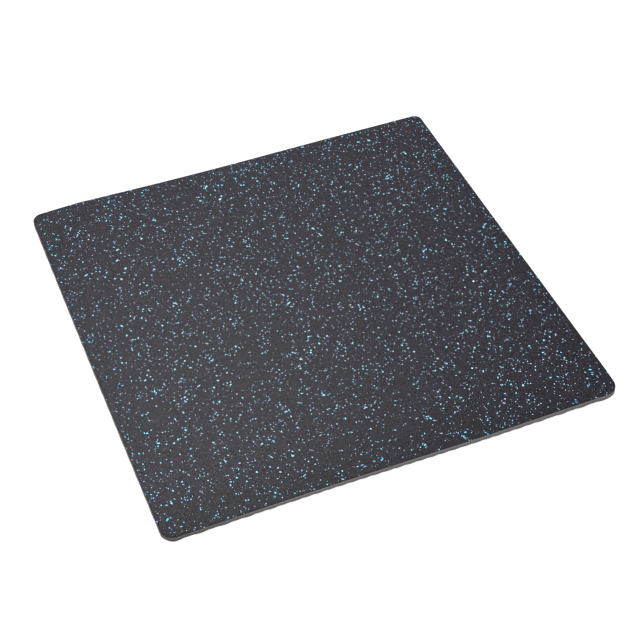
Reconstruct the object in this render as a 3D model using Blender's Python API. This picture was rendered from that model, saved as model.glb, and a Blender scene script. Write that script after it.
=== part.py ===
"""Anti-vibration foam pad: one square mat, die-cut from a foam sheet with a nubbed underside.

Metres, +Z up. The origin is at the centre of the pad's footprint, on the surface that it lies on.
The near side is at -Y, and the flecked top looks up.
"""

import math

import bmesh
import bpy
from mathutils import Vector

# Driving dimensions
SIDE = 0.600                    # both sides of the square, measured between the straight edges
THICKNESS = 0.008               # from the flat top down to the tips of the nubs
NUB_HEIGHT = 0.002              # how far the nubs stand out of the underside
NUB_PITCH = 0.0295              # between nubs along a row; the rows are staggered by half of it
NUB_TIP = 0.003                 # half the width of a nub's blunt tip, along its row
FIRST_NUB = (0.0098, -0.2965)   # a nub of the row that the near side runs beside
ROW_BOW = 0.0039                # how far the rows curve inwards, at the middle of the pad
CORNER_RADII = {                # the corners came off the die a little unlike each other
    (-1, -1): 0.015,
    (1, -1): 0.019,
    (1, 1): 0.011,
    (-1, 1): 0.018,
}
CORNER_SEGMENTS = 8
FAR_BOW = 0.003                 # how far the far side curves in, at its middle, where the sheet crept back
FAR_CUTS = 15                   # points along the curved far side, between its corners
SMOOTH_ANGLE = math.radians(30)
FACES_UP = 0.5                  # a face that looks up has at least this much of its normal along +Z
PERCENT = 100
ROUNDING = 1e-6                 # two coordinates closer than this are the same

# Worked out from the driving dimensions
HALF = SIDE / 2
FAR_SPAN = HALF - max(CORNER_RADII.values())            # half the length that the far side curves over
ROW_STEP = NUB_PITCH / 2
CONE_HEIGHT = NUB_HEIGHT / (1 - NUB_TIP / ROW_STEP)     # a nub with its tip not yet cut off
SHEET_CELLS = 2 * math.ceil(HALF / ROW_STEP) + 2        # a sheet wider than the die all round
DIE_REACH = 0.010               # how far the die stands out above and below the sheet

# Finishes, and their places in the material list
SKIN = 0
FOAM = 1
SKIN_COLOUR = (0.062, 0.060, 0.072, 1.0)
FOAM_COLOUR = (0.165, 0.148, 0.150, 1.0)
SKIN_ROUGHNESS = 0.75
FOAM_ROUGHNESS = 0.95


def clear_scene():
    """Remove every object of the open scene."""
    for item in list(bpy.data.objects):
        bpy.data.objects.remove(item, do_unlink=True)


def collection(name):
    """A new collection under the scene's own."""
    group = bpy.data.collections.new(name)
    bpy.context.scene.collection.children.link(group)
    return group


def finish(name, colour, roughness):
    """A plain non-metal material."""
    material = bpy.data.materials.new(name)
    material.use_nodes = True
    shader = material.node_tree.nodes["Principled BSDF"]
    shader.inputs["Base Color"].default_value = colour
    shader.inputs["Roughness"].default_value = roughness
    shader.inputs["Metallic"].default_value = 0.0
    material.diffuse_color = colour
    return material


def object_from(bm, name, group, materials):
    """Put a bmesh into a new object of the collection."""
    mesh = bpy.data.meshes.new(name)
    bm.to_mesh(mesh)
    bm.free()
    for material in materials:
        mesh.materials.append(material)
    item = bpy.data.objects.new(name, mesh)
    group.objects.link(item)
    return item


def is_tip(point):
    """True for the grid points where a nub stands: every second one, like the dark squares of a chequerboard."""
    along = round((point.x - FIRST_NUB[0]) / ROW_STEP)
    across = round((point.y - FIRST_NUB[1]) / ROW_STEP)
    return (along + across) % 2 == 0


def grid_centre(first):
    """Where the grid's middle goes along one axis, to put a grid point on the first nub."""
    return first - ROW_STEP * round(first / ROW_STEP)


def sheet(group, materials):
    """The foam sheet before it is cut: flat on top, with rows of blunt four-sided nubs underneath."""
    bm = bmesh.new()
    bmesh.ops.create_grid(bm, x_segments=SHEET_CELLS, y_segments=SHEET_CELLS, size=SHEET_CELLS * ROW_STEP / 2)
    shift = Vector((grid_centre(FIRST_NUB[0]), grid_centre(FIRST_NUB[1]), NUB_HEIGHT))
    bmesh.ops.translate(bm, verts=bm.verts, vec=shift)

    # Each cell folds along the line between its two points that are not tips.
    for face in list(bm.faces):
        lows = [vert for vert in face.verts if not is_tip(vert.co)]
        bmesh.utils.face_split(face, lows[0], lows[1])
    tips = [vert for vert in bm.verts if is_tip(vert.co)]
    bmesh.ops.translate(bm, verts=tips, vec=(0, 0, -CONE_HEIGHT))

    # The nubs' points are cut off level, by the same share of every edge that meets there.
    bmesh.ops.bevel(
        bm,
        geom=[vert for vert in tips if not vert.is_boundary],
        offset=PERCENT * NUB_TIP / ROW_STEP,
        offset_type='PERCENT',
        segments=1,
        affect='VERTICES',
    )

    # The rows curve a little, as the sheet gave when it was cut.
    for vert in bm.verts:
        vert.co.y += ROW_BOW * (1 - (vert.co.x / HALF) ** 2)

    border = [edge for edge in bm.edges if edge.is_boundary]
    walls = bmesh.ops.extrude_edge_only(bm, edges=border)
    rim = [item for item in walls["geom"] if isinstance(item, bmesh.types.BMVert)]
    for vert in rim:
        vert.co.z = THICKNESS
    rim_edges = [edge for edge in bm.edges if edge.is_boundary]
    bmesh.ops.contextual_create(bm, geom=rim_edges)
    bmesh.ops.recalc_face_normals(bm, faces=bm.faces)
    for face in bm.faces:
        face.material_index = SKIN if face.normal.z > FACES_UP else FOAM
    return object_from(bm, "pad", group, materials)


def die(group, materials):
    """The upright square prism that the pad is cut out with, its four corners rounded."""
    bm = bmesh.new()
    bmesh.ops.create_cube(bm, size=1.0)
    bmesh.ops.scale(bm, verts=bm.verts, vec=(SIDE, SIDE, THICKNESS + 2 * DIE_REACH))
    bmesh.ops.translate(bm, verts=bm.verts, vec=(0, 0, THICKNESS / 2))
    for (side_x, side_y), radius in CORNER_RADII.items():
        corner = [
            edge for edge in bm.edges
            if all(vert.co.x * side_x > 0 and vert.co.y * side_y > 0 for vert in edge.verts)
        ]
        bmesh.ops.bevel(
            bm,
            geom=corner,
            offset=radius,
            offset_type='OFFSET',
            segments=CORNER_SEGMENTS,
            profile=0.5,
            affect='EDGES',
        )

    # Between its corners the far side follows a shallow parabola.
    far_edges = [
        edge for edge in bm.edges
        if edge.calc_length() > HALF and all(abs(vert.co.y - HALF) < ROUNDING for vert in edge.verts)
    ]
    bmesh.ops.subdivide_edges(bm, edges=far_edges, cuts=FAR_CUTS, use_grid_fill=True)
    for vert in bm.verts:
        if vert.co.y > 0 and abs(vert.co.x) < FAR_SPAN:
            vert.co.y -= FAR_BOW * (1 - (vert.co.x / FAR_SPAN) ** 2)
    for face in bm.faces:
        face.material_index = FOAM
        face.smooth = True
    cutter = object_from(bm, "die", group, materials)
    cutter.data.set_sharp_from_angle(angle=SMOOTH_ANGLE)
    cutter.hide_render = True
    cutter.display_type = 'WIRE'
    return cutter


def main():
    """Build the sheet and cut the pad out of it."""
    clear_scene()
    parts = collection("foam_pad")
    cutters = collection("cutters")
    materials = (
        finish("flecked_skin", SKIN_COLOUR, SKIN_ROUGHNESS),
        finish("cut_foam", FOAM_COLOUR, FOAM_ROUGHNESS),
    )
    pad = sheet(parts, materials)
    cut = pad.modifiers.new("cut_out", 'BOOLEAN')
    cut.operation = 'INTERSECT'
    cut.solver = 'EXACT'
    cut.object = die(cutters, materials)


main()
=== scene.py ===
"""Anti-vibration foam pad: the finished look of a square flecked mat.

The file is laid out as an add-on, and it is run as a script.
The mat is one closed surface: a flat dark skin, a taupe cut wall and an underside of rounded nubs.
Its blue flecks are thousands of flat chips of coloured foam rubber, set flush in the skin.
Metres, +Z up, with the origin at the middle of the footprint, on the floor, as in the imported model.
"""

import math

import bpy
import numpy as np
from mathutils import Matrix, Vector


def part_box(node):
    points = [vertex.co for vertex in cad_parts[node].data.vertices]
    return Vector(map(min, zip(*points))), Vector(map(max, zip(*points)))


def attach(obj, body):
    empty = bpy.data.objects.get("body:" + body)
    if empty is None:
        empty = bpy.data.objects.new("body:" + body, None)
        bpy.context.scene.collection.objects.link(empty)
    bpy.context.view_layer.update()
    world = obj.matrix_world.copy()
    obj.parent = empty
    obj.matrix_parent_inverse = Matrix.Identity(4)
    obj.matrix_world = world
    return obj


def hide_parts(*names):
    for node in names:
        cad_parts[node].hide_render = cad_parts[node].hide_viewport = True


bl_info = {
    "name": "Flecked Foam Pad",
    "version": (1, 0, 0),
    "blender": (4, 5, 0),
    "location": "3D View > Sidebar > Foam Pad",
    "description": "Builds a die-cut anti-vibration foam pad with a flecked skin and a nubbed underside",
    "category": "Mesh",
}

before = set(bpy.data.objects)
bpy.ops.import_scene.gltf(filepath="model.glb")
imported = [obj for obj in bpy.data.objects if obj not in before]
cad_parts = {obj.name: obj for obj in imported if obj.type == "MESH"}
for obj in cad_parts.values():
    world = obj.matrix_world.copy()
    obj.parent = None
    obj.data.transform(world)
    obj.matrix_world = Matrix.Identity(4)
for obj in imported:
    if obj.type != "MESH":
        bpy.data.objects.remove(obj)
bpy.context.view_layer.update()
PAD_LOW, PAD_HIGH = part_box("pad")

# The pad's own sizes, in metres
HALF = (PAD_HIGH.x - PAD_LOW.x) / 2
TOP = PAD_HIGH.z
CORNER_RADII = (0.015, 0.018, 0.011, 0.014)     # near left, near right, far right, far left
RADIUS_FADE = 3                                 # how many radii further in a corner's roundness is gone
TOP_ROUND = 0.0005                              # the skin's rolled upper edge
FOOT_ROUND = 0.0002                             # the softened lower edge of the cut
ROUND_POINTS = 5                                # points round each of those two edges
WALL_DISH = 0.0003                              # how far the cut wall hollows between its edges
WALL_SHARES = (0.14, 0.3, 0.5, 0.7, 0.86)       # where the wall has points, in shares of the way down
SKIN_ROWS = 2                                   # rows of faces on the rolled edge that the skin still covers
SKIN_WAVES = ((0.00010, 0.090, 3), (0.00004, 0.023, 4))     # height, length and seed of its two slow waves
WALL_WEAR = (0.00010, 0.0045, 11)               # depth, length and seed of the cut's unevenness

# The nubs of the underside
NUB_HEIGHT = 0.002
NUB_PITCH = 0.0295
FIRST_NUB = (0.0098, -0.2965)
ROW_BOW = 0.0039                                # how far the rows curve inwards at the middle
NUB_POWER = 1.2                                 # the higher it is, the narrower the nubs
TIP_POWER = 1.15                                # and the higher this one, the blunter their tips
TIP_GAIN = 1.03                                 # what is past 1 after this gain is cut off level

# How the sheet crept after it was cut
SIDE_BOWS = (0.0, -0.0003, -0.0030, 0.0008)     # how far the near, right, far and left sides bulge, at most
WAVE_HEIGHTS = (0.00065, 0.00070)               # how far the near and the far side sway about their bows
WAVE_STARTS = (0.000, 0.042)                    # where along x each sway crosses its bow, going outwards
WAVE_LENGTH = 0.420
FAR_LEFT_DROOP = 0.0052                         # how far the far side's left end hangs back
NEAR_RIGHT_DROOP = 0.0010                       # and the right side's near end
DROOP_STARTS = (-0.76, -0.85)                   # where each droop begins, in half sides from the middle
DROOP_POWER = 1.1
NEAR_LEAN = 0.00045                             # how far the near wall's foot stands out in its right half
LEAN_SPAN = (-0.10, 0.08)                       # over which stretch of x that grows
LEAN_POWER = 8                                  # how fast it fades away from the near side

# The form of the chips, in metres
CHIP_CORNERS = 5
CORNER_SWING = 0.32                             # how far a corner may turn, against the angle between two
CORNER_REACH = (0.72, 1.32)                     # how far out it may lie, against the chip's own radius
CHIP_PROUD = 0.00005                            # how far a chip's flat top stands above the skin
CHIP_INSET = TOP_ROUND * 0.55                   # how far inside the outline every chip stays
SEAM_WIDTH = 0.00088                            # how far its collar runs out, sinking as far below the skin
CHIP_SIZES = (0.00025, 0.0042)                  # the least and the greatest diameter
STRETCH_SHAPE = 1.6                             # shape and scale of the gamma law of the lengthenings
STRETCH_SCALE = 0.45
STRAY_STRETCH = 1.4
SPARE_THROWS = 1.02                             # more chips are thrown than asked for, as some miss the plan
LEAST_LANDED = 0.95                             # the share of the asked number that has to land on it
CHIP_SEED = 27

# The colours of the chips and of the seams round them
SEAM_COLOUR = (0.002, 0.002, 0.003)
DUSTY_SIZE = 0.0005                             # up to this diameter a chip is dusty
CLEAR_SIZE = 0.0023                             # and from this one on it is clear blue
DULL_SIZES = (0.0013, 0.0026)                   # between these diameters a chip gets duller
DULLEST = 0.75                                  # how light one past the second is, against a small one
RIM_DEPTH = 0.030                               # how fast the blue gets paler going inwards
HUE_SPREAD = (0.10, 0.030, 0.0)                 # how far red, green and blue vary from chip to chip
CHIP_LIGHTNESS = (0.78, 1.24)                   # the darkest and the lightest, against the plain colour
FAINT_LIGHTNESS = (0.5, 1.2)

# A few stray chips of other colours: place, diameter and colour
STRAY_CHIPS = (
    ((0.2418, -0.2824), 0.0022, (0.048, 0.041, 0.037)),
    ((-0.2245, 0.2952), 0.0022, (0.345, 0.338, 0.308)),
    ((0.2410, 0.2932), 0.0021, (0.120, 0.107, 0.098)),
    ((0.0455, -0.0328), 0.0028, (0.340, 0.324, 0.293)),
)

# The finishes on the mat, as places in its material list, and how detailed the noises are
SKIN, CUT, UNDERSIDE = 0, 1, 2
COARSE_DETAIL, FINE_DETAIL = 2.0, 3.0

# The skin: cells or waves for each metre, then what each pattern adds to its tone or its height
SKIN_GRAINS = 1050.0
SKIN_FUZZ = 1900.0
SKIN_CLOUDS = 14.0
GRAIN_TONE, FUZZ_TONE, CLOUD_TONE = 2.8, 1.6, 0.10
DARKEST_TONE = 0.08
WARM_GRAIN = (1.22, 0.97, 0.92)
COOL_GRAIN = (0.78, 1.03, 1.08)
SKIN_FUZZ_HEIGHT = 0.5
SKIN_BUMP = 0.00012
SKIN_GLOSS = 0.056
SKIN_ROUGHNESS, GRAIN_ROUGHNESS = 0.38, 0.16
NEAR_SHADE, NEAR_SHADE_SLOPE = 0.60, 1.1          # painted shade: the tone at the near side, and its rise per metre to the right
NEAR_SHADE_FADE = (-0.010, 0.075)                     # how far from that side the painted shade goes back to the full tone
# painted shade along the right side: the tone there, and how far in it goes back to the full tone
RIGHT_SHADE = 0.86
RIGHT_SHADE_FADE = (0.0, 0.030)

# A faint scratch on the skin, by the right side
SCRATCH_X = 0.2542
SCRATCH_ENDS = (0.058, 0.141)
SCRATCH_FADE = 0.01                             # the length over which each end fades
SCRATCH_EDGE = (0.0002, 0.0007)                 # where its sides fade, from its middle line
SCRATCH_TONE = 1.2

# The cut wall
CUT_CELLS = 2300.0
CUT_STREAKS = (60.0, 60.0, 1500.0)
CUT_CLOUDS = 60.0
SHADE_WANDER, WANDER_SHARE = 45.0, 0.25         # how the edge of the painted shade on the lower part wanders
SHADED_LOWER_PART = (0.36, 0.62)                       # where down the cut the painted shade of the lower part begins
LARGE_PORES, SMALL_PORES, SMALL_PORE_SHARE = 1100.0, 2100.0, 0.6
PORE_EDGE = (0.16, 0.36)                        # where a pore's edge fades, in cells from its middle
PORE_CHOICE = (0.48, 0.52)                      # a cell whose own number is past these has a pore
CUT_TONES = (1.29, 0.24, 0.14, -0.18, -0.34, -0.42)  # plain foam, streaks, clouds, cells, painted shade of the lower part, pores
CUT_HEIGHTS = (0.7, 0.6, -1.6)                  # cells, streaks, pores
CUT_BUMP = 0.00010
CUT_ROUGHNESS = 0.9
RIGHT_END_TONE = 0.82                           # the wall's tone at its right end, against the rest
RIGHT_END_FADE = (-0.010, 0.130)
CORNER_SHADE_FADE = (0.010, 0.150)                   # how far from the near left corner the painted shade goes

# The moulded underside
PEBBLES = 1500.0
PEBBLE_FUZZ = 1800.0
PEBBLE_CLOUDS = 25.0
UNDERSIDE_TONES = (0.98, 0.16, 0.12, -0.10)     # plain foam, clouds, fuzz, pebbles
UNDERSIDE_HEIGHTS = (0.6, 0.5)                  # pebbles, fuzz
UNDERSIDE_BUMP = 0.00009
UNDERSIDE_ROUGHNESS, FUZZ_ROUGHNESS = 0.82, 0.1

# The chips' own finish
CHIP_FUZZ = 3000.0
CHIP_FUZZ_TONE = 0.22
CHIP_BUMP = 0.00006
CHIP_GLOSS = 0.030
CHIP_ROUGHNESS, CHIP_FUZZ_ROUGHNESS = 0.5, 0.2

# The camera, worked out from the outline of the pad in a square picture
CAMERA_PLACE = (-0.51042, -1.26725, 1.38051)
CAMERA_TARGET = (-0.00212, -0.04395, 0.008)
CAMERA_ROLL = math.radians(0.249)
CAMERA_LENS = 82.147
CAMERA_SENSOR = 36.0
CAMERA_CLIP = (0.05, 50.0)

# The floor and the key light
FLOOR_SIZE = 12.0
FLOOR_LEVEL = -0.0003                           # just under the nubs, so that the two don't touch
FLOOR_COLOUR = (0.2, 0.2, 0.2, 1.0)
FLOOR_ROUGHNESS = 0.9
WHITE = (1.0, 1.0, 1.0, 1.0)
KEY_PLACE = (0.645, 3.322, 4.947)
KEY_SIZE = 2.0

# The noise's table has this many random heights along each side, and TINY keeps a divisor from being nought
NOISE_TABLE = 256
TINY = 1e-9

# The colour sockets of the Mix node, by number, since others there have the same names
MIX_FIRST, MIX_SECOND, MIX_RESULT = 6, 7, 2


# Noise and grids


def smooth_noise(x, y, cell, seed):
    """Noise from -1 to 1: random heights at the corners of square cells, blended with 3f^2 - 2f^3 between."""
    heights = np.random.default_rng(seed).uniform(-1, 1, (NOISE_TABLE, NOISE_TABLE))
    column, row = np.floor(x / cell), np.floor(y / cell)
    across, along = x / cell - column, y / cell - row
    across, along = across * across * (3 - 2 * across), along * along * (3 - 2 * along)
    i, j = column.astype(int) % NOISE_TABLE, row.astype(int) % NOISE_TABLE
    i_next, j_next = (i + 1) % NOISE_TABLE, (j + 1) % NOISE_TABLE
    low = heights[i, j] * (1 - across) + heights[i_next, j] * across
    high = heights[i, j_next] * (1 - across) + heights[i_next, j_next] * across
    return low * (1 - along) + high * along


def smooth_share(values, start, end):
    """0 up to start and 1 from end on, rising as 3t^2 - 2t^3 between them."""
    t = np.clip((values - start) / (end - start), 0, 1)
    return t * t * (3 - 2 * t)


def corner_choice(x, y, values):
    """For each point, the value of the corner whose quarter it lies in.

    The values come as near left, near right, far right and far left.
    """
    near = np.where(x < 0, values[0], values[1])
    far = np.where(x < 0, values[3], values[2])
    return np.where(y < 0, near, far)


def rounded_square(a, b, half, inset, radii):
    """Carry the square |a|, |b| <= 1 onto a plan with rounded corners.

    With t the larger of |a| and |b|, a ring of the square becomes an outline of half side t * half - inset.
    Its corner radius is the full one less the inset at t = 1 and fades to nothing three radii further in.
    A point goes the same share of the way from the middle of its side to the middle of its corner's arc.
    """
    t = np.maximum(np.maximum(np.abs(a), np.abs(b)), TINY)
    reach = t * (half - inset)
    radius = corner_choice(a, b, radii) - inset
    radius = radius * np.clip(1 - (1 - t) * half / (RADIUS_FADE * radius), 0, 1)
    on_end = np.abs(b) >= np.abs(a)
    share = np.where(on_end, a, b) / t
    straight = reach - radius
    way = np.abs(share) * (straight + radius * math.pi / 4)
    angle = np.maximum(way - straight, 0) / np.maximum(radius, TINY)
    along = np.sign(share) * np.where(way > straight, straight + radius * np.sin(angle), way)
    out = np.where(way > straight, straight + radius * np.cos(angle), reach)
    x = np.where(on_end, along, np.sign(a) * out)
    y = np.where(on_end, np.sign(b) * out, along)
    return x, y


def drooped(along, start, depth):
    """How far a side hangs back near its end at -1: the depth times a power of the way from the start."""
    return depth * (np.clip(start - along, 0, 1) / (1 + start)) ** DROOP_POWER


def settled(x, y):
    """Points of the square plan, moved as the sheet crept after it was cut.

    Each side bulges by its bow times 1 - u^2, with u from -1 to 1 along it. The near and far sides also sway
    by a sine along x, and two corners droop. A side's shift is multiplied by the square of a share that falls
    from 1 at that side to 0 at the opposite one.
    """
    near, right, far, left = SIDE_BOWS
    u, v = x / HALF, y / HALF
    near_sway, far_sway = (
        height * np.sin(2 * math.pi * (x - start) / WAVE_LENGTH)
        for height, start in zip(WAVE_HEIGHTS, WAVE_STARTS)
    )
    bulge_x, bulge_y = np.clip(1 - v * v, 0, 1), np.clip(1 - u * u, 0, 1)
    near_out = near * bulge_y + near_sway
    far_out = far * bulge_y + far_sway - drooped(u, DROOP_STARTS[0], FAR_LEFT_DROOP)
    right_out = right * bulge_x - drooped(v, DROOP_STARTS[1], NEAR_RIGHT_DROOP)
    across = (right_out * (1 + u) ** 2 - left * bulge_x * (1 - u) ** 2) / 4
    along = (far_out * (1 + v) ** 2 - near_out * (1 - v) ** 2) / 4
    return x + across, y + along


def distance_to_rim(x, y, radii):
    """How far each point lies inside the outline: to the nearest side, or in a corner to its arc."""
    radius = corner_choice(x, y, radii)
    past_x = np.abs(x) - (HALF - radius)
    past_y = np.abs(y) - (HALF - radius)
    in_corner = (past_x > 0) & (past_y > 0)
    to_side = HALF - np.maximum(np.abs(x), np.abs(y))
    return np.where(in_corner, radius - np.hypot(past_x, past_y), to_side)


def pulled_inside(x, y, radii, inset):
    """Points beyond the outline less the inset, brought back onto it.

    They go straight in from a side, and in a corner towards the centre of its arc.
    """
    radius = corner_choice(x, y, radii)
    core = HALF - radius
    limit = HALF - inset
    past_x, past_y = np.abs(x) - core, np.abs(y) - core
    length = np.maximum(np.hypot(past_x, past_y), TINY)
    shrink = np.minimum((radius - inset) / length, 1)
    in_corner = (past_x > 0) & (past_y > 0)
    new_x = np.where(in_corner, core + past_x * shrink, np.minimum(np.abs(x), limit))
    new_y = np.where(in_corner, core + past_y * shrink, np.minimum(np.abs(y), limit))
    return np.sign(x) * new_x, np.sign(y) * new_y


def cells_of(index):
    """The four corners of each cell of a grid of vertex numbers, taken round the cell."""
    corners = (index[:-1, :-1], index[:-1, 1:], index[1:, 1:], index[1:, :-1])
    return np.stack(corners, axis=-1).reshape(-1, 4)


def mesh_object(name, points, *faces):
    """A new object whose mesh has these points and faces, one array of corner numbers for each kind."""
    corners = np.concatenate([group.ravel() for group in faces])
    sizes = np.concatenate([np.full(len(group), group.shape[1]) for group in faces])
    starts = np.concatenate([[0], np.cumsum(sizes)[:-1]])
    mesh = bpy.data.meshes.new(name)
    mesh.vertices.add(len(points))
    mesh.vertices.foreach_set("co", points.astype(np.float32).ravel())
    mesh.loops.add(len(corners))
    mesh.loops.foreach_set("vertex_index", corners.astype(np.int32))
    mesh.polygons.add(len(sizes))
    mesh.polygons.foreach_set("loop_start", starts.astype(np.int32))
    mesh.update(calc_edges=True)
    item = bpy.data.objects.new(name, mesh)
    bpy.context.scene.collection.objects.link(item)
    return item


# The mat's surfaces


def top_height(x, y):
    """The skin's height: level, with slow waves a tenth of a millimetre high from lying rolled."""
    return TOP + sum(height * smooth_noise(x, y, length, seed) for height, length, seed in SKIN_WAVES)


def underside_height(x, y):
    """The height of the underside: rounded nubs on a square lattice turned by 45 degrees.

    p and q count lattice steps from the first nub. A nub is d, the product of the cosines of their fractions
    raised to NUB_POWER, and then 1 - (1 - d)^TIP_POWER, which levels its tip.
    """
    step = NUB_PITCH / 2
    along = (x - FIRST_NUB[0]) / step
    across = (y - FIRST_NUB[1] - ROW_BOW * (1 - (x / HALF) ** 2)) / step
    p, q = (along + across) / 2, (along - across) / 2
    dome = np.cos(math.pi * (p - np.round(p))) * np.cos(math.pi * (q - np.round(q)))
    dome = np.clip(dome, 0, 1) ** NUB_POWER
    levelled = 1 - (1 - dome) ** TIP_POWER
    return NUB_HEIGHT * (1 - np.minimum(levelled * TIP_GAIN, 1))


def ring_parameters(cells):
    """The rim of the parameter square, walked anticlockwise from its near left corner."""
    step = np.linspace(-1, 1, cells + 1)[:-1]
    one = np.ones(cells)
    a = np.concatenate([step, one, -step, -one])
    b = np.concatenate([-one, step, one, -step])
    return a, b


def wall_profile():
    """Inset, drop and share of the way down, for each ring of points down the cut.

    The rolled top edge and the softened foot are quarter circles, and the wall between is a parabola.
    """
    turn = np.linspace(0, math.pi / 2, ROUND_POINTS)
    rolled = [(TOP_ROUND * (1 - math.sin(s)), TOP_ROUND * (1 - math.cos(s)), 0.0) for s in turn]
    wall = [(WALL_DISH * 4 * v * (1 - v), 0.0, v) for v in WALL_SHARES]
    foot = [(FOOT_ROUND * (1 - math.cos(s)), FOOT_ROUND * (math.sin(s) - 1), 1.0) for s in turn[:-1]]
    return rolled + wall + foot


def mat_surface(cells, radii):
    """The closed surface of the mat: a grid for the skin, one for the underside, and rings for the wall.

    The near wall leans: its points move out by their share of the way down, times a fade along x and inwards.
    Returns the points, the faces, each face's finish and each point's share of the way down.
    """
    a, b = np.meshgrid(np.linspace(-1, 1, cells + 1), np.linspace(-1, 1, cells + 1))
    skin_x, skin_y = rounded_square(a, b, HALF, TOP_ROUND, radii)
    base_x, base_y = rounded_square(a, b, HALF, FOOT_ROUND, radii)
    count = a.size
    skin_index = np.arange(count).reshape(a.shape)
    base_index = skin_index + count
    skin = np.stack([*settled(skin_x, skin_y), top_height(skin_x, skin_y)], axis=-1).reshape(-1, 3)
    base = np.stack([*settled(base_x, base_y), underside_height(base_x, base_y)], axis=-1).reshape(-1, 3)

    rim_a, rim_b = ring_parameters(cells)
    walk = np.arange(len(rim_a)) * (8 * HALF / len(rim_a))
    depth, length, seed = WALL_WEAR
    rings, shares = [], []
    for inset, drop, share in wall_profile()[1:]:
        worn = depth * smooth_noise(walk, np.full(len(walk), share * length), length, seed)
        x, y = rounded_square(rim_a, rim_b, HALF, inset + worn * (0 < share < 1), radii)
        high = top_height(x, y) - TOP_ROUND
        low = underside_height(x, y) + FOOT_ROUND
        if share == 0:
            z = high + TOP_ROUND - drop
        elif share == 1:
            z = low + drop
        else:
            z = high + (low - high) * share
        rings.append(np.stack([*settled(x, y), z], axis=-1))
        shares.append(np.full(len(x), share))
    rings = np.array(rings)

    edge = np.concatenate([
        skin_index[0, :-1], skin_index[:-1, -1], skin_index[-1, :0:-1], skin_index[:0:-1, 0],
    ])
    ring_index = np.arange(rings.shape[0] * rings.shape[1]).reshape(rings.shape[:2]) + 2 * count
    wall_index = np.vstack([edge, ring_index, edge + count])
    wall_index = np.hstack([wall_index, wall_index[:, :1]])

    points = np.concatenate([skin, base, rings.reshape(-1, 3)])
    down = np.concatenate([np.zeros(count), np.ones(count), *shares])
    nearness = ((1 - points[:, 1] / HALF) / 2) ** LEAN_POWER
    points[:, 1] -= down * NEAR_LEAN * smooth_share(points[:, 0], *LEAN_SPAN) * nearness
    skin_faces = cells_of(skin_index)
    base_faces = cells_of(base_index)[:, ::-1]
    wall_faces = cells_of(wall_index)[:, ::-1]
    zone = np.concatenate([
        np.full(len(skin_faces), SKIN),
        np.full(len(base_faces), UNDERSIDE),
        np.repeat(np.where(np.arange(len(wall_index) - 1) < SKIN_ROWS, SKIN, CUT), len(edge)),
    ])
    return points, np.concatenate([skin_faces, base_faces, wall_faces]), zone.astype(np.int32), down


def chip_surface(centres, diameters, stretch, turns, rng, radii):
    """Flat chips, set in the skin: each is a jagged pentagon, stretched one way, in a sloping collar.

    The collar is the seam where the skin has closed round the chip: it runs out and down under the surface.
    A corner lies at its reach times the cosine and sine of its angle, which are then lengthened and turned.
    """
    corners = CHIP_CORNERS
    swing = rng.uniform(-CORNER_SWING, CORNER_SWING, (len(centres), corners))
    angle = (np.arange(corners) + swing) * 2 * math.pi / corners
    reach = diameters[:, None] / 2 * rng.uniform(*CORNER_REACH, (len(centres), corners))
    rings = []
    for widening, height in ((0, CHIP_PROUD), (SEAM_WIDTH, -CHIP_PROUD)):
        u = reach * np.cos(angle) * np.sqrt(stretch)[:, None] + widening * np.cos(angle)
        v = reach * np.sin(angle) / np.sqrt(stretch)[:, None] + widening * np.sin(angle)
        x = centres[:, :1] + u * np.cos(turns)[:, None] - v * np.sin(turns)[:, None]
        y = centres[:, 1:] + u * np.sin(turns)[:, None] + v * np.cos(turns)[:, None]
        x, y = pulled_inside(x, y, radii, CHIP_INSET)
        rim_drop = TOP_ROUND - np.minimum(distance_to_rim(x, y, radii), TOP_ROUND)
        rolled = TOP_ROUND - np.sqrt(np.maximum(TOP_ROUND ** 2 - rim_drop ** 2, 0))
        z = top_height(x, y) - rolled + height
        rings.append(np.stack([*settled(x, y), z], axis=-1))
    points = np.concatenate(rings, axis=1).reshape(-1, 3)
    ring = np.arange(corners)
    after = (ring + 1) % corners
    first = np.arange(len(centres))[:, None] * 2 * corners
    skirt = np.stack([ring + corners, after + corners, after, ring], axis=-1)
    return points, first + ring, first + corners + ring[::-1], (first[:, None] + skirt).reshape(-1, 4)


def scattered(count, spread, shape, radii, rng):
    """Places, diameters, lengthenings and turns of chips thrown at random over the plan."""
    centres = rng.uniform(-HALF, HALF, (int(count * SPARE_THROWS), 2))
    inside = distance_to_rim(centres[:, 0], centres[:, 1], radii) > TOP_ROUND
    centres = centres[inside][:count]
    if len(centres) < count * LEAST_LANDED:
        raise RuntimeError("too few chips fell inside the outline")
    count = len(centres)
    diameters = np.clip(spread * rng.weibull(shape, count), *CHIP_SIZES)
    stretch = 1 + rng.gamma(STRETCH_SHAPE, STRETCH_SCALE, count)
    turns = rng.uniform(0, math.pi, count)
    return centres, diameters, stretch, turns


def fleck_colours(settings, diameters, rim, rng):
    """Each chip's colour: a large one is clear blue and a small one dusty, and both are deeper near the rim.

    Depth falls off exponentially from the rim, and the largest chips are duller than the others.
    """
    clear = smooth_share(diameters, DUSTY_SIZE, CLEAR_SIZE)[:, None]
    dull = 1 - (1 - DULLEST) * smooth_share(diameters, *DULL_SIZES)[:, None]
    inner = 1 - np.exp(-rim / RIM_DEPTH)[:, None]
    large = np.array(settings.deep) * (1 - inner) + np.array(settings.blue) * inner
    small = np.array(settings.dusty_deep) * (1 - inner) + np.array(settings.dusty) * inner
    hue = 1 + rng.normal(0, 1, (len(rim), 3)) * HUE_SPREAD
    return (small * (1 - clear) + large * clear) * dull * hue * rng.uniform(*CHIP_LIGHTNESS, (len(rim), 1))


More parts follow.
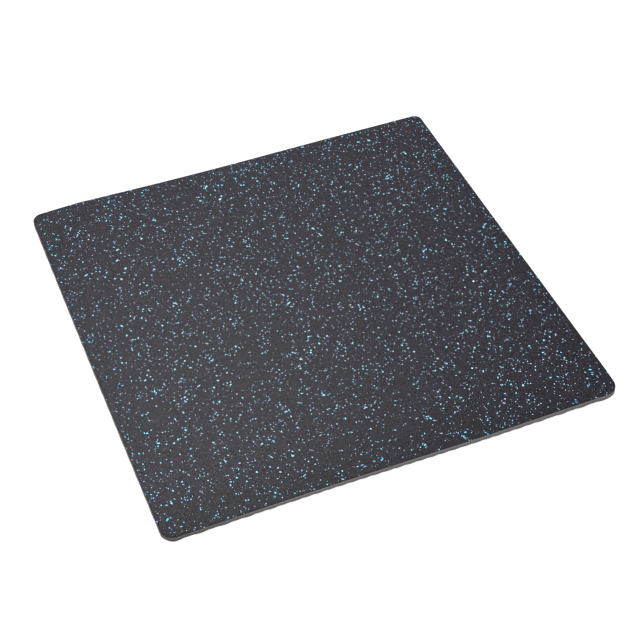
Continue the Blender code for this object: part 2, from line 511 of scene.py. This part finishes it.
def chip_object(name, scatter, colours, rng, radii):
    """One mesh of many chips: each top face's corners carry its chip's colour, and the rest is dark."""
    points, tops, bases, skirts = chip_surface(*scatter, rng, radii)
    chips = mesh_object(name, points, tops, bases, skirts)
    per_corner = np.ones((tops.size + bases.size + skirts.size, 4), np.float32)
    per_corner[:tops.size, :3] = np.repeat(np.clip(colours, 0, 1), tops.shape[1], axis=0)
    per_corner[tops.size:, :3] = SEAM_COLOUR
    stored = chips.data.attributes.new("chip_colour", 'FLOAT_COLOR', 'CORNER')
    stored.data.foreach_set("color", per_corner.ravel())
    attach(chips, "root")
    return chips


# Materials


class Socket:
    """An output of a node that turns Python arithmetic into Math nodes."""

    def __init__(self, finish, link):
        self.finish, self.link = finish, link

    def maths(self, operation, *values):
        """One Math node on these values or sockets."""
        return self.finish.node("ShaderNodeMath", {"operation": operation}, dict(enumerate(values)))

    def __add__(self, other):
        return self.maths('ADD', self, other)

    def __sub__(self, other):
        return self.maths('SUBTRACT', self, other)

    def __rsub__(self, other):
        return self.maths('SUBTRACT', other, self)

    def __mul__(self, other):
        return self.maths('MULTIPLY', self, other)

    def __pow__(self, other):
        return self.maths('POWER', self, other)

    __radd__ = __add__
    __rmul__ = __mul__

    def size(self):
        """The value without its sign."""
        return self.maths('ABSOLUTE', self)

    def at_least(self, other):
        """The larger of the two."""
        return self.maths('MAXIMUM', self, other)

    def above(self, start, end):
        """0 below start and 1 past end, smoothly between them."""
        inputs = {"Value": self, "From Min": start, "From Max": end}
        return self.finish.node("ShaderNodeMapRange", {"interpolation_type": 'SMOOTHSTEP'}, inputs)


class Finish:
    """A material under construction: its node tree, with one method that adds any node."""

    def __init__(self, name):
        self.material = bpy.data.materials.new(name)
        self.material.use_nodes = True
        self.tree = self.material.node_tree
        self.shader = self.tree.nodes["Principled BSDF"]

    def node(self, kind, settings=None, inputs=None, output=0):
        """Add a node, apply its settings, fill its inputs by name or number, and return one output."""
        made = self.tree.nodes.new(kind)
        for key, value in (settings or {}).items():
            setattr(made, key, value)
        for key, value in (inputs or {}).items():
            self.fill(made.inputs[key], value)
        return Socket(self, made.outputs[output])

    def fill(self, socket, value):
        """Link a socket or set its own value."""
        if isinstance(value, Socket):
            self.tree.links.new(value.link, socket)
        else:
            socket.default_value = value

    def place(self):
        """The point on the object, in its own coordinates."""
        return self.node("ShaderNodeTexCoord", output="Object")

    def axes(self, vector):
        """The three parts of a vector."""
        split = self.node("ShaderNodeSeparateXYZ", inputs={"Vector": vector}, output="X")
        return tuple(Socket(self, split.link.node.outputs[name]) for name in "XYZ")

    def noise(self, vector, scale, detail):
        """Cloudy noise, centred on nought."""
        inputs = {"Vector": vector, "Scale": scale, "Detail": detail}
        return self.node("ShaderNodeTexNoise", inputs=inputs) - 0.5

    def grains(self, vector, scale, output):
        """A pattern of packed cells: how far a point is from its cell's middle, or the cell's own colour."""
        return self.node("ShaderNodeTexVoronoi", inputs={"Vector": vector, "Scale": scale}, output=output)

    def pores(self, vector, scale):
        """1 inside small round pits and 0 between them: a pit at the middle of one packed cell in two."""
        from_middle = self.grains(vector, scale, "Distance")
        chosen = self.axes(self.grains(vector, scale, "Color"))[0]
        return (1 - from_middle.above(*PORE_EDGE)) * chosen.above(*PORE_CHOICE)

    def stretched(self, vector, scale):
        """The vector with each axis scaled by its own amount."""
        return self.node("ShaderNodeVectorMath", {"operation": 'MULTIPLY'}, {0: vector, 1: scale})

    def mixed(self, share, first, second):
        """Two colours mixed by a share from 0 to 1."""
        inputs = {"Factor": share, MIX_FIRST: first, MIX_SECOND: second}
        return self.node("ShaderNodeMix", {"data_type": 'RGBA'}, inputs, MIX_RESULT)

    def toned(self, colour, amount):
        """A colour made lighter or darker by a factor."""
        return self.node("ShaderNodeVectorMath", {"operation": 'SCALE'}, {0: colour, "Scale": amount})

    def bump(self, height, distance):
        """A normal bent by a height, whose unit is the distance in metres."""
        return self.node("ShaderNodeBump", inputs={"Height": height, "Distance": distance, "Strength": 1.0})

    def surface(self, **inputs):
        """Fill the Principled shader's inputs, named with underscores for spaces."""
        for key, value in inputs.items():
            self.fill(self.shader.inputs[key.replace("_", " ")], value)
        return self.material


def skin_finish(colour):
    """The dark skin: packed rubber grains a little unlike each other, matt, with painted shade along two
    sides.
    """
    finish = Finish("flecked_skin")
    place = finish.place()
    x, y = finish.axes(place)[:2]
    own = finish.axes(finish.grains(place, SKIN_GRAINS, "Color"))
    grain, lift, warmth = own[0] - 0.5, own[1] - 0.5, own[2]
    fuzz = finish.noise(place, SKIN_FUZZ, FINE_DETAIL)
    cloud = finish.noise(place, SKIN_CLOUDS, COARSE_DETAIL)
    # painted shade: darker towards the near side, most at its left end, and towards the right side
    from_near, from_right = y + HALF, HALF - x
    least = NEAR_SHADE + x * NEAR_SHADE_SLOPE
    near_shade = least + (1 - least) * from_near.above(*NEAR_SHADE_FADE)
    right_shade = RIGHT_SHADE + (1 - RIGHT_SHADE) * from_right.above(*RIGHT_SHADE_FADE)
    uneven = 1 + grain * GRAIN_TONE + fuzz * FUZZ_TONE + cloud * CLOUD_TONE
    tone = uneven.at_least(DARKEST_TONE) * (near_shade * right_shade)
    warm, cool = (
        (*(part * tint for part, tint in zip(colour, tints)), 1.0)
        for tints in (WARM_GRAIN, COOL_GRAIN)
    )
    return finish.surface(
        Base_Color=finish.toned(finish.mixed(warmth, warm, cool), tone + scratch_mask(x, y) * SCRATCH_TONE),
        Roughness=SKIN_ROUGHNESS + lift * GRAIN_ROUGHNESS,
        Specular_IOR_Level=SKIN_GLOSS,
        Normal=finish.bump(lift + fuzz * SKIN_FUZZ_HEIGHT, SKIN_BUMP),
    )


def scratch_mask(x, y):
    """1 along the faint scratch by the right side, which runs in the direction of y, and 0 away from it."""
    start, end = SCRATCH_ENDS
    across = (x - SCRATCH_X).size()
    within = y.above(start, start + SCRATCH_FADE) * (1 - y.above(end - SCRATCH_FADE, end))
    return (1 - across.above(*SCRATCH_EDGE)) * within


def cut_finish(colour, corner_shade):
    """The cut wall: taupe foam with cells, pores, faint streaks along the cut, and painted shade at the near
    left corner.

    It has painted shade in its lower part, and it is darker towards its right end.
    """
    finish = Finish("cut_foam")
    place = finish.place()
    x, y = finish.axes(place)[:2]
    cell = finish.grains(place, CUT_CELLS, "Distance")
    streak = finish.noise(finish.stretched(place, CUT_STREAKS), 1.0, FINE_DETAIL)
    cloud = finish.noise(place, CUT_CLOUDS, FINE_DETAIL)
    down = finish.node("ShaderNodeAttribute", {"attribute_name": "down_the_cut"}, output="Fac")
    # painted shade: the lower part of the cut is darker, with a wandering edge
    wander = finish.noise(place, SHADE_WANDER, COARSE_DETAIL)
    lower = (down + wander * WANDER_SHARE).above(*SHADED_LOWER_PART)
    pore = finish.pores(place, LARGE_PORES) + finish.pores(place, SMALL_PORES) * SMALL_PORE_SHARE

    plain, by_streak, by_cloud, by_cell, by_lower_shade, by_pore = CUT_TONES
    uneven = plain + streak * by_streak + cloud * by_cloud + cell * by_cell
    uneven = uneven + lower * by_lower_shade + pore * by_pore
    right_end = RIGHT_END_TONE + (1 - RIGHT_END_TONE) * (HALF - x).above(*RIGHT_END_FADE)
    # painted shade: the wall darkens and turns browner towards the near left corner
    from_corner = ((x + HALF) ** 2 + (y + HALF) ** 2) ** 0.5
    shaded = finish.mixed(from_corner.above(*CORNER_SHADE_FADE), (*corner_shade, 1.0), (*colour, 1.0))
    cell_height, streak_height, pore_height = CUT_HEIGHTS
    height = cell * cell_height + streak * streak_height + pore * pore_height
    return finish.surface(
        Base_Color=finish.toned(shaded, uneven * right_end),
        Roughness=CUT_ROUGHNESS,
        Normal=finish.bump(height, CUT_BUMP),
    )


def underside_finish(colour):
    """The moulded underside: the same foam with a closed, finely pebbled surface."""
    finish = Finish("moulded_foam")
    place = finish.place()
    pebble = finish.grains(place, PEBBLES, "Distance")
    fuzz = finish.noise(place, PEBBLE_FUZZ, FINE_DETAIL)
    cloud = finish.noise(place, PEBBLE_CLOUDS, FINE_DETAIL)
    plain, by_cloud, by_fuzz, by_pebble = UNDERSIDE_TONES
    pebble_height, fuzz_height = UNDERSIDE_HEIGHTS
    return finish.surface(
        Base_Color=finish.toned(colour, plain + cloud * by_cloud + fuzz * by_fuzz + pebble * by_pebble),
        Roughness=UNDERSIDE_ROUGHNESS + fuzz * FUZZ_ROUGHNESS,
        Normal=finish.bump(pebble * pebble_height + fuzz * fuzz_height, UNDERSIDE_BUMP),
    )


def chip_finish():
    """The chips: each has its own colour, stored on its corners, with a little grain."""
    finish = Finish("blue_chips")
    place = finish.place()
    own = finish.node("ShaderNodeAttribute", {"attribute_name": "chip_colour"}, output="Color")
    fuzz = finish.noise(place, CHIP_FUZZ, COARSE_DETAIL)
    return finish.surface(
        Base_Color=finish.toned(own, 1 + fuzz * CHIP_FUZZ_TONE),
        Roughness=CHIP_ROUGHNESS + fuzz * CHIP_FUZZ_ROUGHNESS,
        Specular_IOR_Level=CHIP_GLOSS,
        Normal=finish.bump(fuzz, CHIP_BUMP),
    )


def floor_finish(brightness):
    """A pale floor that glows a little, so that it stays even and white."""
    finish = Finish("studio_floor")
    return finish.surface(
        Base_Color=FLOOR_COLOUR,
        Roughness=FLOOR_ROUGHNESS,
        Specular_IOR_Level=0.0,
        Emission_Color=WHITE,
        Emission_Strength=brightness,
    )


def soft_light(name, place, size, power):
    """A square area light that faces the pad's middle and isn't seen itself."""
    light = bpy.data.lights.new(name, 'AREA')
    light.shape = 'SQUARE'
    light.size = size
    light.energy = power
    lamp = bpy.data.objects.new(name, light)
    bpy.context.scene.collection.objects.link(lamp)
    place = Vector(place)
    lamp.matrix_world = Matrix.Translation(place) @ (-place).to_track_quat('-Z', 'Y').to_matrix().to_4x4()
    lamp.visible_camera = False


# Settings


class PadSettings(bpy.types.PropertyGroup):
    """Sizes and colours of the mat."""

    cells: bpy.props.IntProperty(
        name="Grid cells", description="Cells along each side of the mat's surfaces", min=40, max=400,
        default=200)
    corner_radii: bpy.props.FloatVectorProperty(
        name="Corner radii", description="Near left, near right, far right and far left", size=4,
        default=CORNER_RADII, unit='LENGTH')
    skin: bpy.props.FloatVectorProperty(
        name="Skin", description="Colour of the dark skin", size=4, subtype='COLOR', min=0, max=1,
        default=(0.0093, 0.0079, 0.0118, 1.0))
    foam: bpy.props.FloatVectorProperty(
        name="Cut foam", description="Colour of the cut wall", size=4, subtype='COLOR', min=0, max=1,
        default=(0.1252, 0.1108, 0.1116, 1.0))
    # painted shade: the cut wall's darker, browner colour at the near left corner
    corner_shade: bpy.props.FloatVectorProperty(
        name="Shaded corner foam", description="Colour of the cut wall at the near left corner", size=4,
        subtype='COLOR', min=0, max=1, default=(0.078, 0.065, 0.062, 1.0))
    underside: bpy.props.FloatVectorProperty(
        name="Underside", description="Colour of the moulded underside", size=4, subtype='COLOR', min=0,
        max=1, default=(0.098, 0.089, 0.090, 1.0))


class FleckSettings(bpy.types.PropertyGroup):
    """Number, sizes and colours of the flecks."""

    count: bpy.props.IntProperty(
        name="Flecks", description="How many blue chips lie in the skin", default=11600, min=0, max=12000)
    faint: bpy.props.IntProperty(
        name="Faint flecks", description="How many washed-out chips lie among them", min=0, max=12000,
        default=800)
    spread: bpy.props.FloatProperty(
        name="Size", description="Scale of the chips' diameters", default=0.00091, unit='LENGTH')
    shape: bpy.props.FloatProperty(
        name="Evenness", description="Higher values make the sizes more alike", default=1.55, min=0.5, max=8)
    blue: bpy.props.FloatVectorProperty(
        name="Blue", description="Colour of the large chips inside the mat", size=3, subtype='COLOR', min=0,
        max=1, default=(0.34, 0.785, 0.975))
    deep: bpy.props.FloatVectorProperty(
        name="Deep blue", description="Colour of the large chips along the rim", size=3, subtype='COLOR',
        min=0, max=1, default=(0.02, 0.58, 0.95))
    dusty: bpy.props.FloatVectorProperty(
        name="Dusty blue", description="Colour of the small chips inside the mat", size=3, subtype='COLOR',
        min=0, max=1, default=(0.44, 0.665, 0.96))
    dusty_deep: bpy.props.FloatVectorProperty(
        name="Dusty deep blue", description="Colour of the small chips along the rim", size=3,
        subtype='COLOR', min=0, max=1, default=(0.42, 0.62, 0.95))
    pale: bpy.props.FloatVectorProperty(
        name="Pale blue", description="Colour of the washed-out chips", size=3, subtype='COLOR', min=0,
        max=1, default=(0.25, 0.34, 0.49))


class StageSettings(bpy.types.PropertyGroup):
    """The studio round the pad."""

    floor_glow: bpy.props.FloatProperty(
        name="Floor glow", description="Light given off by the white floor", default=0.85, min=0)
    sky: bpy.props.FloatProperty(
        name="Sky", description="Strength of the even light from all round", default=1.154, min=0)
    key: bpy.props.FloatProperty(
        name="Key light", description="Power of the large soft light behind the pad", default=422.0,
        unit='POWER', min=0)


# Operators


class FOAMPAD_OT_mat(bpy.types.Operator):
    """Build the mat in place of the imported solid"""

    bl_idname = "foampad.mat"
    bl_label = "Mat"

    def execute(self, context):
        settings = context.scene.foam_pad
        points, quads, zone, down = mat_surface(settings.cells, tuple(settings.corner_radii))
        if len(quads) != len(zone):
            raise RuntimeError("the mat's faces and their finishes don't match")
        mat = mesh_object("foam_mat", points, quads)
        mat.data.polygons.foreach_set("material_index", zone)
        mat.data.shade_smooth()
        stored = mat.data.attributes.new("down_the_cut", 'FLOAT', 'POINT')
        stored.data.foreach_set("value", down.astype(np.float32))
        for finish in (
            skin_finish(tuple(settings.skin)[:3]),
            cut_finish(tuple(settings.foam)[:3], tuple(settings.corner_shade)[:3]),
            underside_finish(tuple(settings.underside)[:3]),
        ):
            mat.data.materials.append(finish)
        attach(mat, "root")
        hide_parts("pad")
        return {'FINISHED'}


class FOAMPAD_OT_flecks(bpy.types.Operator):
    """Scatter the coloured chips over the skin"""

    bl_idname = "foampad.flecks"
    bl_label = "Flecks"

    def execute(self, context):
        settings = context.scene.foam_flecks
        radii = tuple(context.scene.foam_pad.corner_radii)
        rng = np.random.default_rng(CHIP_SEED)
        scatter = scattered(settings.count, settings.spread, settings.shape, radii, rng)
        centres = scatter[0]
        rim = distance_to_rim(centres[:, 0], centres[:, 1], radii)
        colours = fleck_colours(settings, scatter[1], rim, rng)
        finish = chip_finish()
        chip_object("blue_flecks", scatter, colours, rng, radii).data.materials.append(finish)

        scatter = scattered(settings.faint, settings.spread, settings.shape, radii, rng)
        colours = np.array(settings.pale) * rng.uniform(*FAINT_LIGHTNESS, (len(scatter[0]), 1))
        chip_object("faint_flecks", scatter, colours, rng, radii).data.materials.append(finish)

        places, diameters, colours = (np.array(column) for column in zip(*STRAY_CHIPS))
        stretch = np.full(len(places), STRAY_STRETCH)
        scatter = places, diameters, stretch, rng.uniform(0, math.pi, len(places))
        chip_object("stray_flecks", scatter, colours, rng, radii).data.materials.append(finish)
        return {'FINISHED'}


class FOAMPAD_OT_stage(bpy.types.Operator):
    """Set the floor, the lights and the camera"""

    bl_idname = "foampad.stage"
    bl_label = "Stage"

    def execute(self, context):
        settings = context.scene.foam_stage
        bpy.ops.mesh.primitive_plane_add(size=FLOOR_SIZE, location=(0, 0, FLOOR_LEVEL))
        floor = context.object
        floor.name = "floor"
        floor.data.materials.append(floor_finish(settings.floor_glow))

        world = bpy.data.worlds.new("studio")
        world.use_nodes = True
        background = world.node_tree.nodes["Background"]
        background.inputs["Color"].default_value = WHITE
        background.inputs["Strength"].default_value = settings.sky
        context.scene.world = world

        soft_light("key", KEY_PLACE, KEY_SIZE, settings.key)

        lens = bpy.data.cameras.new("camera")
        lens.sensor_width = CAMERA_SENSOR
        lens.lens = CAMERA_LENS
        lens.clip_start, lens.clip_end = CAMERA_CLIP
        camera = bpy.data.objects.new("camera", lens)
        context.scene.collection.objects.link(camera)
        place = Vector(CAMERA_PLACE)
        look = (Vector(CAMERA_TARGET) - place).to_track_quat('-Z', 'Y').to_matrix().to_4x4()
        camera.matrix_world = Matrix.Translation(place) @ look @ Matrix.Rotation(CAMERA_ROLL, 4, 'Z')
        context.scene.camera = camera
        context.scene.view_settings.view_transform = 'Standard'
        return {'FINISHED'}


class FOAMPAD_PT_panel(bpy.types.Panel):
    """The pad's settings and operators"""

    bl_label = "Foam Pad"
    bl_idname = "FOAMPAD_PT_panel"
    bl_space_type = 'VIEW_3D'
    bl_region_type = 'UI'
    bl_category = "Foam Pad"

    def draw(self, context):
        for settings, operator in (
            (context.scene.foam_pad, FOAMPAD_OT_mat),
            (context.scene.foam_flecks, FOAMPAD_OT_flecks),
            (context.scene.foam_stage, FOAMPAD_OT_stage),
        ):
            column = self.layout.column()
            for name in settings.bl_rna.properties.keys():
                if name not in {"rna_type", "name"}:
                    column.prop(settings, name)
            column.operator(operator.bl_idname)


CLASSES = (
    PadSettings,
    FleckSettings,
    StageSettings,
    FOAMPAD_OT_mat,
    FOAMPAD_OT_flecks,
    FOAMPAD_OT_stage,
    FOAMPAD_PT_panel,
)


def register():
    """Register the classes and hang the settings on the scene."""
    for item in CLASSES:
        bpy.utils.register_class(item)
    bpy.types.Scene.foam_pad = bpy.props.PointerProperty(type=PadSettings)
    bpy.types.Scene.foam_flecks = bpy.props.PointerProperty(type=FleckSettings)
    bpy.types.Scene.foam_stage = bpy.props.PointerProperty(type=StageSettings)


def unregister():
    """Take the settings and classes away again."""
    del bpy.types.Scene.foam_stage
    del bpy.types.Scene.foam_flecks
    del bpy.types.Scene.foam_pad
    for item in reversed(CLASSES):
        bpy.utils.unregister_class(item)


def main():
    """Build everything in order."""
    register()
    bpy.ops.foampad.stage()
    bpy.ops.foampad.mat()
    bpy.ops.foampad.flecks()


if __name__ == "__main__":
    main()
